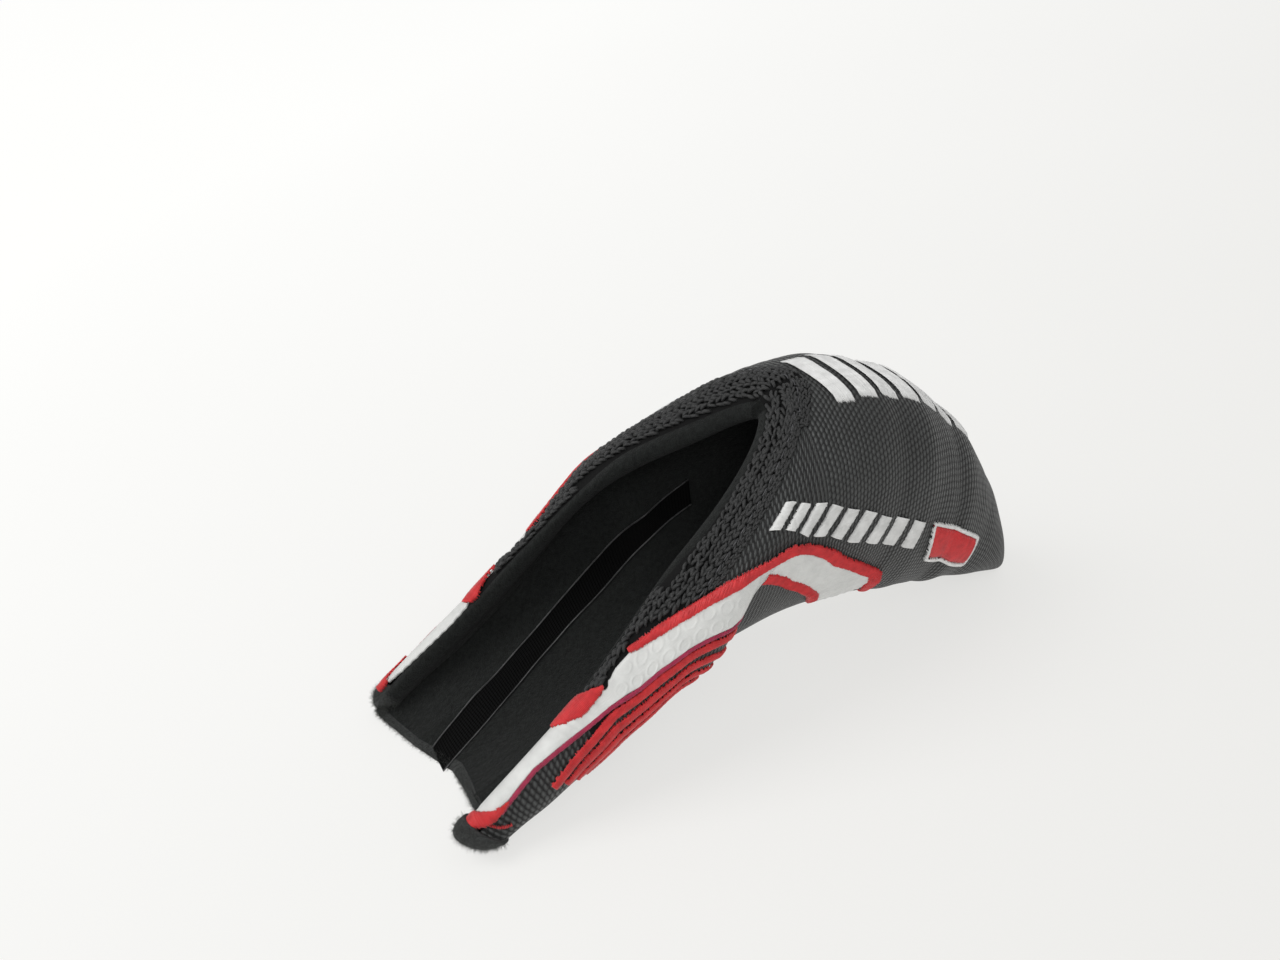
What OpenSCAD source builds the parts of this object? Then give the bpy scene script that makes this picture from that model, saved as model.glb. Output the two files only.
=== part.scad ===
// Blade putter head cover: a padded, fleece-lined sock bent like a boomerang.
// It stands on its open neck end and its toe, with the slit along the outside of the neck facing up.
// X runs from the open neck end to the toe, Y to the left, Z up. Millimetres.
// Its surface is described by a station t, from 0 at the open end over 0.5 at the slit's closed end
// to 1 at the toe, and by a share v, from 0 at the seam inside the bend to 1 at the lip or ridge.

/* [Seam along the inside of the bend] */
// Straight length of the seam from the open end
neck_seam = 62; // [60:1:64]
// Radius of the bend between neck and foot
bend_r = 90; // [86:1:94]
// Slope of the neck seam above the table, degrees
neck_slope = 18.4; // [18:0.1:19]
// Slope of the foot seam down to the table, degrees
foot_slope = 16.6; // [16:0.1:17]
// Straight length of the seam under the foot
foot_seam = 76; // [74:1:78]
// Height of the seam above the table at the open end
seam_z = 0.6; // [0.6:0.1:0.9]

/* [Outside of the bend] */
// How far the lips reach past the open end of the seam
lip_overhang = 10.8; // [9:0.2:12]
// Height of the lips at the open end
lip_z = 8.9; // [8:0.1:10]
// Place of the slit's closed end along X, from the open end of the seam
slit_end_x = 100.6; // [99:0.2:102]
// Height of the slit's closed end
slit_end_z = 90.8; // [89:0.2:92]
// Half of the slit's width at the open end
slit_half = 33; // [31:1:34]
// Place of the toe's tip along X, from the open end of the seam
toe_x = 187.2; // [186:0.2:188]
// Height of the toe's tip
toe_z = 3.4; // [3:0.1:4]

/* [Layers] */
// Thickness of the knitted cover
cover_t = 1.2; // [1:0.1:1.4]
// Thickness of the foam padding
foam_t = 2.5; // [2.2:0.1:2.6]
// Thickness of the fleece lining
fleece_t = 2; // [1.8:0.1:2.2]
// Width of the hem round the slit
hem_w = 8; // [7:0.5:9]
// Thickness of the embroidered patches
patch_t = 0.6; // [0.5:0.1:0.8]

/* [Flaps] */
// Distance of the flaps' fold from the open end, along the seam
fold_x = 48; // [46:1:50]

/* [Hidden] */
right = -1;
left = 1;
gap = 0.15;                 // room between two layers
patch_gap = 0.3;            // room under a patch, whose facets don't match the cover's
fold_gap = 0.5;             // room between the flaps and the foot
shell_t = cover_t + foam_t + fleece_t + 2 * gap;
foam_d = cover_t + gap;     // depth of the foam's outside
fleece_d = foam_d + foam_t + gap;
seam_pinch = 0.3;           // share of the thickness left where the seam squeezes the layers
pinch_v = 0.25;             // share v at which they have opened out again
toe_wall = 0.014;           // stations by which the hollow ends short of the toe, per millimetre of depth
round_r = 1.5;              // rounding of the rolled edges
roll_t = 0.02;              // station where the rolled fleece at the open end stops
flap_v = 0.05;              // share v where a flap starts beside the seam tape
tape_size = [2.4, 1.4];     // width and height of the seam tape
t_slit = 0.5;               // station of the slit's closed end
slit_power = 2.2;           // roundness of the slit's closed end
middle_x = 86.4;            // the origin's place along X, from the open end of the seam
steps = 10;                 // facets from seam to lip
hem_a = 3;                  // degrees round the slit that a facet of the heel hem takes
flap_facets = 12;           // facets along a flap
room = 140;                 // more than any piece reaches from the origin

bend_len = bend_r * (neck_slope + foot_slope) * PI / 180;
seam_len = neck_seam + bend_len + foot_seam;
lip_start = [-lip_overhang, lip_z];
slit_end = [slit_end_x, slit_end_z];
slit_len = norm(slit_end - lip_start);
ridge = [slit_end, slit_end + [32.3, 10.1], [toe_x - 11.3, toe_z + 62.3], [toe_x, toe_z]];
lip_per_t = slit_len / t_slit;
ridge_per_t = 3 * norm(ridge[1] - ridge[0]) / (1 - t_slit);

// Edges of the white panel, as [t, v], from the open end to the foot's underside
panel_low = [[0.03, 0.93], [0.17, 0.95], [0.25, 0.87], [0.37, 0.64], [0.53, 0.3]];
panel_high = [[0.03, 1], [0.22, 1], [0.3, 0.9], [0.44, 0.64], [0.64, 0.32]];
border_low = [[0.262, 0.97], [0.304, 0.905], [0.444, 0.646], [0.644, 0.322]];
border_high = [[0.27, 0.998], [0.318, 0.927], [0.458, 0.67], [0.66, 0.34]];
// Middle of the hook tape inside the left flap
hook_line = [[0.01, 0.18], [0.17, 0.29], [0.3, 0.4], [0.45, 0.41]];
hook_half = 0.07;           // half of its width, as a share v

// ---- the surface ----
function mix(a, b, k) = a + (b - a) * k;
function smooth(a, b, x) = let (k = min(1, max(0, (x - a) / (b - a)))) k * k * (3 - 2 * k);
function bezier(p, k) = pow(1 - k, 3) * p[0] + 3 * pow(1 - k, 2) * k * p[1]
    + 3 * (1 - k) * k * k * p[2] + pow(k, 3) * p[3];
// Point at share k of a line of corners, each stretch taking the same share
function along(line, k) = let (x = k * (len(line) - 1), i = min(len(line) - 2, floor(x)))
    mix(line[i], line[i + 1], x - i);

// Point of the seam at a distance s from the open end, in the middle plane
function seam_point(s) =
    let (start = [0, seam_z], dir = [cos(neck_slope), sin(neck_slope)],
        centre = start + dir * neck_seam - [-dir[1], dir[0]] * bend_r,
        a = neck_slope - min(max(0, s - neck_seam), bend_len) / bend_r * 180 / PI,
        past = max(0, s - neck_seam - bend_len))
    s < neck_seam ? start + dir * s
    : centre + bend_r * [-sin(a), cos(a)] + past * [cos(foot_slope), -sin(foot_slope)];

// Point of the lip line, or of the foot's ridge, at station t
function ridge_point(t) = t < t_slit
    ? lip_start + (slit_end - lip_start) * t / t_slit
    : bezier(ridge, (t - t_slit) / (1 - t_slit));

// Half of the slit's width at station t
function lip_y(t) = t >= t_slit ? 0 : slit_half * sqrt(1 - pow(max(0, t / t_slit), slit_power));

// Control points of half a section, as [height above the seam, distance from the middle plane]
function controls(t) =
    let (h = norm(ridge_point(t) - seam_point(t * seam_len)),
        k = smooth(0, t_slit, t), q = smooth(t_slit, 1, t),
        pull = mix(0.12, 1, sqrt(max(0, 1 - pow(max(0, t - t_slit) / (1 - t_slit), 2.6)))))
    t < t_slit
    ? [[0, 0], [mix(-4, -6, k), mix(20, 31, k)], [h * mix(0.1, 1.04, k), mix(44, 51, k)], [h, lip_y(t)]]
    : [[0, 0], [mix(-6, 0, q), mix(31, 26, q) * pull], [h * mix(1.04, 1, q), mix(51, 28, q) * pull], [h, 0]];

// Point at station t and share v, d inside the cover's outer surface
function shell_point(t, v, d, side) =
    let (tt = t > t_slit ? t - max(0, d) * toe_wall * (t - t_slit) / (1 - t_slit) : t,
        p = controls(tt), w = min(1, max(0, v)), e = 0.001,
        dir = bezier(p, min(1, w + e)) - bezier(p, max(0, w - e)),
        deep = d * (d > 0 ? mix(seam_pinch, 1, min(1, w / pinch_v)) : 1),
        q = bezier(p, w) + [dir[1], -dir[0]] / norm(dir) * deep,
        y = w == 0 || (w == 1 && tt >= t_slit) ? 0 : q[1],
        foot = seam_point(tt * seam_len), top = ridge_point(tt),
        m = foot + (top - foot) / norm(top - foot) * q[0])
    [m[0] - middle_x, side * y, m[1]];
// The same, with v past 1 counted down the other side of the ridge
function over_ridge(t, v, d, side) = v > 1 ? shell_point(t, 2 - v, d, -side) : shell_point(t, v, d, side);

// Station and share at a distance r from the slit's edge, where a runs from 0 at its closed end to 90
function hem_tv(a, r) =
    let (c = max(0.001, cos(a)),
        run = [-slit_len * 2 / slit_power * pow(c, 2 / slit_power - 1) * sin(a), slit_half * c],
        out = [run[1], -run[0]] / norm(run),
        x = pow(c, 2 / slit_power) * slit_len + r * out[0],
        y = slit_half * sin(a) + r * out[1],
        t = x < slit_len ? x / lip_per_t : t_slit + (x - slit_len) / ridge_per_t,
        p = controls(t))
    [t, 1 - (y - lip_y(t)) / (3 * norm(p[3] - p[2]))];
// Where the layers end below the hem
function hem_foot(a) = hem_tv(a, hem_w + gap);

// ---- solids ----
function quad(a, b, c, d) = [[a, b, c], [a, c, d]];
// A solid from rings of points. A ring's first half lies opposite its second half, which closes the ends.
module ring_solid(rings) {
    n = len(rings);
    m = len(rings[0]);
    end = (n - 1) * m;
    polyhedron([for (r = rings) for (p = r) p], concat(
        [for (i = [0 : n - 2]) for (j = [0 : m - 1])
            let (a = i * m + j, b = i * m + (j + 1) % m) each quad(a, a + m, b + m, b)],
        [for (j = [0 : m / 2 - 2]) each quad(j, j + 1, m - 2 - j, m - 1 - j)],
        [for (j = [0 : m / 2 - 2]) each quad(end + j, end + m - 1 - j, end + m - 2 - j, end + j + 1)]),
        convexity = 6);
}

// The same for a right or a left side; the rings are in the left side's order
module sided(rings, side)
    ring_solid(side > 0 ? rings : [for (r = rings) [for (j = [len(r) - 1 : -1 : 0]) r[j]]]);

// A sheet over rows of [t, v] points, between the depths outer and inner
module sheet(rows, outer, inner, side)
    sided([for (row = rows) concat([for (p = row) over_ridge(p[0], p[1], outer, side)],
        [for (j = [len(row) - 1 : -1 : 0]) over_ridge(row[j][0], row[j][1], inner, side)])], side);

// A patch between two lines of corners, lying on the cover, with n facets along it and m across
module band(low, high, side, n = 24, m = 2, level = 0) {
    d = -patch_gap - level * (patch_t + gap);
    sheet([for (i = [0 : n]) [for (k = [0 : m]) mix(along(low, i / n), along(high, i / n), k / m)]],
        d - patch_t, d, side);
}

// One layer of the foot: open above where the slit is, closed round the foot, and a cup at the toe
module foot_layer(outer, inner) {
    first = 23;             // the first closed station, which is the hem's end round the slit
    tops = concat([for (i = [first : -1 : 0]) hem_foot(i * hem_a)],
        [for (k = [1 : 15]) [mix(hem_foot(0)[0], 1, sin(90 * k / 15)), 1]]);
    w = 2 * steps + 1;
    last = len(tops) - 1;
    function id(i, layer, j) = (i * 2 + layer) * w + (i >= first && j == w - 1 ? 0 : j);
    function far(layer, j) = id(last, layer, j);
    polyhedron(
        [for (p = tops) for (d = [outer, inner]) for (j = [-steps : steps])
            shell_point(p[0], p[1] * abs(j) / steps, d, j < 0 ? right : left)],
        concat(
            [for (i = [0 : last - 1]) for (j = [0 : w - 2]) each concat(
                quad(id(i, 0, j), id(i + 1, 0, j), id(i + 1, 0, j + 1), id(i, 0, j + 1)),
                quad(id(i, 1, j), id(i, 1, j + 1), id(i + 1, 1, j + 1), id(i + 1, 1, j)))],
            [for (i = [0 : first - 1]) each concat(
                quad(id(i, 0, 0), id(i, 1, 0), id(i + 1, 1, 0), id(i + 1, 0, 0)),
                quad(id(i, 0, w - 1), id(i + 1, 0, w - 1), id(i + 1, 1, w - 1), id(i, 1, w - 1)))],
            [for (j = [0 : w - 2]) each quad(id(0, 0, j), id(0, 0, j + 1), id(0, 1, j + 1), id(0, 1, j))],
            [[far(0, 0), far(0, w - 2), far(0, 1)], [far(1, 0), far(1, 1), far(1, w - 2)]],
            [for (j = [1 : steps - 1]) each concat(
                quad(far(0, j), far(0, w - 1 - j), far(0, w - 2 - j), far(0, j + 1)),
                quad(far(1, j), far(1, j + 1), far(1, w - 2 - j), far(1, w - 1 - j)))]),
        convexity = 8);
}

// Places round the slit of a flap's facets, from past the fold to the rolled end
function flap_a(i) = mix(58, 88.2, i / flap_facets);

// One layer of a flap
module flap_layer(outer, inner, side)
    sheet([for (i = [flap_facets : -1 : 0]) let (p = hem_foot(flap_a(i)))
        [for (k = [0 : steps]) [p[0], mix(flap_v, p[1], k / steps)]]], outer, inner, side);

// The rolled hem at some places round the slit; a is negative on the right and 0 at the closed end
module hem(places)
    ring_solid([for (a = places) [for (p = [[hem_w, shell_t],
        [round_r, shell_t], [0, shell_t - round_r], [0, round_r], [round_r, 0], [hem_w, 0]])
        let (h = hem_tv(abs(a), p[0])) shell_point(h[0], h[1], p[1], a < 0 ? right : left)]]);

// The rolled fleece along a flap's open end
module end_roll(side)
    sided([for (i = [0 : 2 * steps]) [for (p = [[roll_t, 0], [-roll_t / 2, 0], [-roll_t, round_r],
        [-roll_t, shell_t - round_r], [-roll_t / 2, shell_t], [roll_t, shell_t]])
        shell_point(p[0], mix(flap_v, 1, i / 2 / steps), p[1], side)]], side);

// The hook tape between two shares of its length
module hook(k0, k1, n)
    sheet([for (i = [0 : n]) let (p = bezier(hook_line, mix(k0, k1, i / n)))
        [for (j = [-1 : 1]) p + [0, j * hook_half]]], shell_t + patch_gap, shell_t + patch_gap + patch_t, left);

// Three curved stripes under the panel
module stripes(side)
    for (i = [0 : 2]) {
        line = [for (k = [0 : 4]) [mix(0.1 + 0.02 * i, 0.36 - 0.02 * i, k / 4),
            mix(0.82, 0.5, k / 4) - 0.12 * i + 0.05 * sin(45 * k)]];
        band([for (p = line) p - [0, 0.022]], [for (p = line) p + [0, 0.022]], side, n = 12);
    }

// The frame of the neck's straight seam, which is the flaps' fold line
module at_seam() translate([-middle_x, 0, seam_z]) rotate([0, -neck_slope, 0]) children();

// What a cut leaves of its children: the flaps' side of the fold, or the foot's
module cut_at_fold(flap)
    intersection() {
        children();
        at_seam() translate([flap ? fold_x - fold_gap - room : fold_x, -room, -room])
            cube([flap ? room : 2 * room, 2 * room, 2 * room]);
    }

// What lies above the table, so that a piece that rests on it has a flat underside
module above_table()
    intersection() {
        children();
        translate([-room, -room, 0]) cube(2 * room);
    }

// ---- foot ----
module foot_cover() color("#1a1a1c") above_table() cut_at_fold(false) foot_layer(0, cover_t);
module foot_padding() color("#d9d6cc") cut_at_fold(false) foot_layer(foam_d, foam_d + foam_t);
module foot_lining() color("#101512") cut_at_fold(false) foot_layer(fleece_d, shell_t);
module heel_hem() color("#202022") cut_at_fold(false) hem([for (i = [-23 : 23]) i * hem_a]);
module hook_strip_heel() color("#0c0c0c") cut_at_fold(false) hook(0.45, 1, 10);

// The tape that holds the two flaps together along the neck's seam
module neck_seam_tape() color("#151515")
    at_seam() translate([0.5, -tape_size[0] / 2, -0.4]) cube([fold_x - 0.5, tape_size[0], tape_size[1]]);

// Seven slanted blocks over the foot's ridge
module spine_marks() color("#f2f2f0")
    for (i = [0 : 6]) {
        t = 0.56 + 0.045 * i;
        band([[t, 0.89], [t + 0.032, 0.89]], [[t - 0.01, 1.08], [t + 0.022, 1.08]], right, n = 2, m = 8);
    }

// A row of slanted bars on both sides of the foot
module side_marks_white() color("#f2f2f0")
    for (side = [right, left]) for (i = [0 : 7]) {
        p = mix([0.43, 0.82], [0.69, 0.43], i / 7);
        band([p - [0, 0.035], p + [0.02, -0.05]], [p + [0.012, 0.035], p + [0.032, 0.02]], side, n = 2);
    }

// The block that ends the row of bars
module side_marks_red() color("#c5161d")
    for (side = [right, left])
        band([[0.735, 0.33], [0.84, 0.3]], [[0.755, 0.5], [0.86, 0.47]], side, n = 5);

module foot_stripes() color("#c5161d") for (side = [right, left]) cut_at_fold(false) stripes(side);
module foot_panel(side) color("#e8e8ea") cut_at_fold(false) band(panel_low, panel_high, side, n = 28, m = 6);
module foot_panel_right() foot_panel(right);
module foot_panel_left() foot_panel(left);
module foot_border(side) color("#c5161d") cut_at_fold(false) band(border_low, border_high, side);
module foot_border_right() foot_border(right);
module foot_border_left() foot_border(left);

// ---- flaps ----
module flap_cover(side) color("#1a1a1c") cut_at_fold(true) flap_layer(0, cover_t, side);
module flap_padding(side) color("#d9d6cc") cut_at_fold(true) flap_layer(foam_d, foam_d + foam_t, side);
module flap_lining(side) color("#101512") cut_at_fold(true) flap_layer(fleece_d, shell_t, side);
module flap_hem(side) color("#202022") cut_at_fold(true) 
    hem([for (i = [0 : flap_facets]) side > 0 ? flap_a(i) : -flap_a(flap_facets - i)]);
module flap_end_roll(side) color("#141a16") above_table() end_roll(side);
module flap_panel(side) color("#e8e8ea") cut_at_fold(true) band(panel_low, panel_high, side, n = 28, m = 6);
// The red tip and the red lobe on the lip
module flap_border(side) color("#c5161d") {
    band([[0.02, 0.91], [0.045, 0.92]], [[0.02, 0.995], [0.045, 0.995]], side, n = 3, level = 1);
    band([[0.12, 0.975], [0.16, 0.94], [0.205, 0.96]], [[0.13, 0.998], [0.17, 0.998], [0.21, 0.998]],
        side, n = 6, level = 1);
}
module flap_stripes(side) color("#c5161d") cut_at_fold(true) stripes(side);

module right_flap_cover() flap_cover(right);
module right_flap_padding() flap_padding(right);
module right_flap_lining() flap_lining(right);
module right_flap_hem() flap_hem(right);
module right_flap_end_roll() flap_end_roll(right);
module right_flap_panel() flap_panel(right);
module right_flap_border() flap_border(right);
module right_flap_stripes() flap_stripes(right);
module left_flap_cover() flap_cover(left);
module left_flap_padding() flap_padding(left);
module left_flap_lining() flap_lining(left);
module left_flap_hem() flap_hem(left);
module left_flap_end_roll() flap_end_roll(left);
module left_flap_panel() flap_panel(left);
module left_flap_border() flap_border(left);
module left_flap_stripes() flap_stripes(left);
module hook_strip() color("#0c0c0c") cut_at_fold(true) hook(0, 0.6, 10);

foot_cover();
foot_padding();
foot_lining();
heel_hem();
neck_seam_tape();
spine_marks();
side_marks_white();
side_marks_red();
foot_stripes();
foot_panel_right();
foot_panel_left();
foot_border_right();
foot_border_left();
hook_strip_heel();
right_flap_cover();
right_flap_padding();
right_flap_lining();
right_flap_hem();
right_flap_end_roll();
right_flap_panel();
right_flap_border();
right_flap_stripes();
left_flap_cover();
left_flap_padding();
left_flap_lining();
left_flap_hem();
left_flap_end_roll();
left_flap_panel();
left_flap_border();
left_flap_stripes();
hook_strip();
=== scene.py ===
import math

import bpy
import numpy as np
from mathutils import Matrix, Vector


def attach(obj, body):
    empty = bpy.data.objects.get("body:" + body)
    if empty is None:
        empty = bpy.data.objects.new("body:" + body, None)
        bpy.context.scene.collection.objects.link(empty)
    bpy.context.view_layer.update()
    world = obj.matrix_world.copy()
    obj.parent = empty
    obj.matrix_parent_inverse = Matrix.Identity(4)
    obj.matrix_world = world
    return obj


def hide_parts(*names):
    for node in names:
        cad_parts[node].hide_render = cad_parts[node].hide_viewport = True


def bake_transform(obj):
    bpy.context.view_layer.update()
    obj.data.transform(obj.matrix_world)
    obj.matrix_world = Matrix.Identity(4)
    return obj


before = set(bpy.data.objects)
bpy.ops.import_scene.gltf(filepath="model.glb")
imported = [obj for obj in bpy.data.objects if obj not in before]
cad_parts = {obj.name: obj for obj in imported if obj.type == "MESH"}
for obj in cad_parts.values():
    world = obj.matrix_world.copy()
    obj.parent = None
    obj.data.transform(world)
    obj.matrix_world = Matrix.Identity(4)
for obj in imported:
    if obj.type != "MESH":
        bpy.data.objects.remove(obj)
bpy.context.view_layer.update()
MM = 0.001  # the shape is worked out in millimetres, and meshes are in metres

# ---------------------------------------------------------------- shape, as in part.scad
# A point of the cloth has a station t, from 0 at the open end over 0.5 at the slit's closed end to 1 at
# the toe, and a share v, from 0 at the seam inside the bend to 1 at the slit's edge or the ridge.
NECK_SEAM, BEND_R, FOOT_SEAM, SEAM_Z = 62.0, 90.0, 76.0, 0.6
NECK_SLOPE, FOOT_SLOPE = math.radians(18.4), math.radians(16.6)
LIP_START, SLIT_END, TOE = np.array([-10.8, 8.9]), np.array([100.6, 90.8]), np.array([187.2, 3.4])
RIDGE = [SLIT_END, SLIT_END + [32.3, 10.1], TOE + [-11.3, 62.3], TOE]
SLIT_HALF, SLIT_POWER, T_SLIT = 33.0, 2.2, 0.5
MIDDLE_X = 86.4
# The knit's thickness, and how deep inside the cover the foam, the fleece and the hollow begin
COVER_T, FOAM_D, FLEECE_D, SHELL_T = 1.2, 1.35, 4.0, 6.0
LAYER_GAP = 0.15
# The seam squeezes the layers to a share of their thickness, up to PINCH_V, and the toe's wall is thicker
SEAM_PINCH, PINCH_V, TOE_WALL = 0.3, 0.25, 0.014
LIP_R = SHELL_T / 2
BEND_LEN = BEND_R * (NECK_SLOPE + FOOT_SLOPE)
SEAM_LEN = NECK_SEAM + BEND_LEN + FOOT_SEAM
SLIT_LEN = float(np.linalg.norm(SLIT_END - LIP_START))
LIP_SLOPE = (SLIT_END[1] - LIP_START[1]) / (SLIT_END[0] - LIP_START[0])
RIDGE_PER_T = 3 * float(np.linalg.norm(RIDGE[1] - RIDGE[0])) / (1 - T_SLIT)
RIGHT, LEFT = -1.0, 1.0
SIDES = {"right": RIGHT, "left": LEFT}


def mix(a, b, k):
    return a + (b - a) * k


def smooth(a, b, x):
    k = np.clip((x - a) / (b - a), 0, 1)
    return k * k * (3 - 2 * k)


def unit(v):
    return v / np.maximum(np.linalg.norm(v, axis=-1, keepdims=True), 1e-9)


def bezier(p, k):
    k = np.asarray(k)[..., None]
    m = 1 - k
    return m ** 3 * p[0] + 3 * m * m * k * p[1] + 3 * m * k * k * p[2] + k ** 3 * p[3]


def read_at(x, known, rows):
    """Rows of a table between its own rows, whose x are known."""
    return np.stack([np.interp(x, known, column) for column in rows.T], -1)


def at_shares(line, k):
    """Points at shares k of a line of points, where each stretch takes the same share."""
    return read_at(k, np.linspace(0, 1, len(line)), line)


def lengths_along(line):
    """The length of a line of points from its start to each of them."""
    return np.concatenate([[0], np.cumsum(np.linalg.norm(np.diff(line, axis=0), axis=1))])


def seam_point(s):
    """The seam inside the bend, s along it from the open end: straight, round the bend, straight."""
    angle = NECK_SLOPE - np.clip(s - NECK_SEAM, 0, BEND_LEN) / BEND_R
    before, past = np.minimum(s, NECK_SEAM), np.maximum(0, s - NECK_SEAM - BEND_LEN)
    x = BEND_R * (math.sin(NECK_SLOPE) - np.sin(angle)) + before * math.cos(NECK_SLOPE)
    z = SEAM_Z - BEND_R * (math.cos(NECK_SLOPE) - np.cos(angle)) + before * math.sin(NECK_SLOPE)
    return np.stack([x + past * math.cos(FOOT_SLOPE), z - past * math.sin(FOOT_SLOPE)], -1)


def ridge_point(t):
    """The slit's edge seen from the side up to its closed end, then the ridge down to the toe."""
    slit = LIP_START + (SLIT_END - LIP_START) * (t / T_SLIT)[..., None]
    ridge = bezier(RIDGE, np.clip((t - T_SLIT) / (1 - T_SLIT), 0, 1))
    return np.where((t < T_SLIT)[..., None], slit, ridge)


def lip_y(t):
    """Half of the slit's width at station t."""
    return SLIT_HALF * np.sqrt(np.clip(1 - np.clip(t / T_SLIT, 0, 1) ** SLIT_POWER, 0, 1))


def controls(t):
    """Control points of half a section at station t: height over the seam, distance from the middle."""
    h = np.linalg.norm(ridge_point(t) - seam_point(t * SEAM_LEN), axis=-1)
    k, q = smooth(0, T_SLIT, t), smooth(T_SLIT, 1, t)
    beyond = np.clip((t - T_SLIT) / (1 - T_SLIT), 0, 1)
    pull = mix(0.12, 1, np.sqrt(1 - beyond ** 2.6))
    neck = t < T_SLIT
    low_z = np.where(neck, mix(-4, -6, k), mix(-6, 0, q))
    low_y = np.where(neck, mix(20, 31, k), mix(31, 26, q) * pull)
    high_z = h * np.where(neck, mix(0.1, 1.04, k), mix(1.04, 1, q))
    high_y = np.where(neck, mix(44, 51, k), mix(51, 28, q) * pull)
    low, high, top = (np.stack(pair, -1) for pair in ((low_z, low_y), (high_z, high_y), (h, lip_y(t))))
    return [np.zeros_like(low), low, high, top]


# ---------------------------------------------------------------- the soft cloth's own shape
# Folds across the foot: station, width in stations, height in millimetres, and how far they lean
FOLDS = [(0.585, 0.020, 0.45, 0.02), (0.655, 0.016, -0.65, 0.03), (0.7, 0.02, 0.6, 0.0),
         (0.765, 0.014, -0.7, -0.02), (0.81, 0.022, 0.6, 0.01), (0.875, 0.016, -0.45, 0.02)]
TUCK_T, TUCK_V, TUCK_DEEP = 0.388, 0.5, 3.6  # the hollow under the bend, on both sides
SWELL_T, SWELL_HIGH = 0.33, 1.3  # the swelling beside it, towards the open end
EVEN_SPAN = 0.09  # stations over which the crease below the slit's closed end is evened out
# The left flap's open end bellies out: by how many stations, and how far it reaches along the neck
END_BULGE, BULGE_LONG = 0.028, 0.12
# The left side's fuller edge: its height, its middle and half width along X, and where it ends below
FULL_HIGH, FULL_X, FULL_WIDE, FULL_DEEP = 5.0, -28.0, 21.0, 30.0


def fuller(points):
    """The left side's edge stands fuller halfway along the slit than the right side's."""
    x, y, z = np.moveaxis(points, -1, 0)
    below = LIP_START[1] + (x + MIDDLE_X - LIP_START[0]) * LIP_SLOPE - z
    share = np.exp(-((x - FULL_X) / FULL_WIDE) ** 2) * smooth(2, 16, y) * smooth(FULL_DEEP, 6, below)
    return points + share[..., None] * FULL_HIGH * np.array([0, 0.6, 0.8])


def fold(t, v, side):
    """How far the cloth stands proud: soft folds across the foot, lumps, and the tuck under the bend."""
    w = side * (1 - v)
    high = sum(a * np.exp(-((t - at - slope * w) / wide) ** 2) for at, wide, a, slope in FOLDS)
    high = high + 0.16 * np.sin(37 * t + 5 * w) * np.sin(11 * w + 9 * t) + 0.12 * np.sin(71 * t - 9 * w)
    tuck = TUCK_DEEP * np.exp(-((t - TUCK_T) / 0.026) ** 2 - ((v - TUCK_V) / 0.17) ** 2)
    swell = SWELL_HIGH * np.exp(-((t - SWELL_T) / 0.035) ** 2 - ((v - TUCK_V) / 0.25) ** 2)
    loose = smooth(0, 0.25, v) * (1 - smooth(0.85, 0.97, v) * smooth(0.56, 0.5, t))
    return (high - tuck + swell) * loose * smooth(1.0, 0.93, t)


def skin(t, v, d, side):
    """Points of the cloth, d inside the cover's outer surface. Every soft piece starts from these."""
    return fuller(even_skin(t, v, d, side))


def even_skin(t, v, d, side):
    """Points at station t, share v of the way from seam to slit edge or ridge, and d inside the cover.
    Round the slit's closed end the sides are evened out, so that no crease runs down from it."""
    t, v, d, side = np.broadcast_arrays(*[np.asarray(a, float) for a in (t, v, d, side)])
    even = EVEN_SPAN * smooth(0.16, 0.04, np.abs(t - T_SLIT)) * smooth(0.99, 0.8, np.minimum(v, 2 - v))
    points = raw_skin(t, v, d, side)
    near = even > 0
    if near.any():
        span, weights = even[near], np.hanning(9)[1:-1]
        shifts = np.linspace(-1, 1, 7)
        points[near] = sum(w * raw_skin(t[near] + span * by, v[near], d[near], side[near])
                           for w, by in zip(weights / weights.sum(), shifts))
    return points


def raw_skin(t, v, d, side):
    """The section curves of part.scad with the folds on them. Past v = 1 the foot's other side follows."""
    bulge = END_BULGE * (side > 0) * np.clip(1 - t / BULGE_LONG, 0, 1) ** 2
    t = t - bulge * np.sin(math.pi * np.clip(v, 0, 1)) ** 0.8
    crossed = (v > 1) & (t >= T_SLIT)
    side = np.where(crossed, -side, side)
    v = np.clip(np.where(crossed, 2 - v, v), 0, 1)
    deep = np.maximum(0, d)
    d = d - fold(t, v, side)
    tt = np.where(t > T_SLIT, t - deep * TOE_WALL * (t - T_SLIT) / (1 - T_SLIT), t)
    p = controls(tt)
    step = 0.001
    run = unit(bezier(p, np.clip(v + step, 0, 1)) - bezier(p, np.clip(v - step, 0, 1)))
    d = d * np.where(d > 0, mix(SEAM_PINCH, 1, np.minimum(1, v / PINCH_V)), 1)
    q = bezier(p, v) + np.stack([run[..., 1], -run[..., 0]], -1) * d[..., None]
    y = np.where((v <= 0) | ((v >= 1) & (tt >= T_SLIT)), 0, q[..., 1])
    foot = seam_point(tt * SEAM_LEN)
    m = foot + unit(ridge_point(tt) - foot) * q[..., :1]
    return np.stack([m[..., 0] - MIDDLE_X, side * y, np.maximum(m[..., 1], 0)], -1)


def chart_tv(x, y):
    """Station and share for a point of a flat chart: x along the slit, y out from its middle."""
    t = np.where(x < SLIT_LEN, x / SLIT_LEN * T_SLIT, T_SLIT + (x - SLIT_LEN) / RIDGE_PER_T)
    return t, 1 - (y - lip_y(t)) / reach(t)


def reach(t):
    """Millimetres along the cloth at the slit's edge for one whole share v."""
    p = controls(t)
    return 3 * np.linalg.norm(p[3] - p[2], axis=-1)


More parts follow.
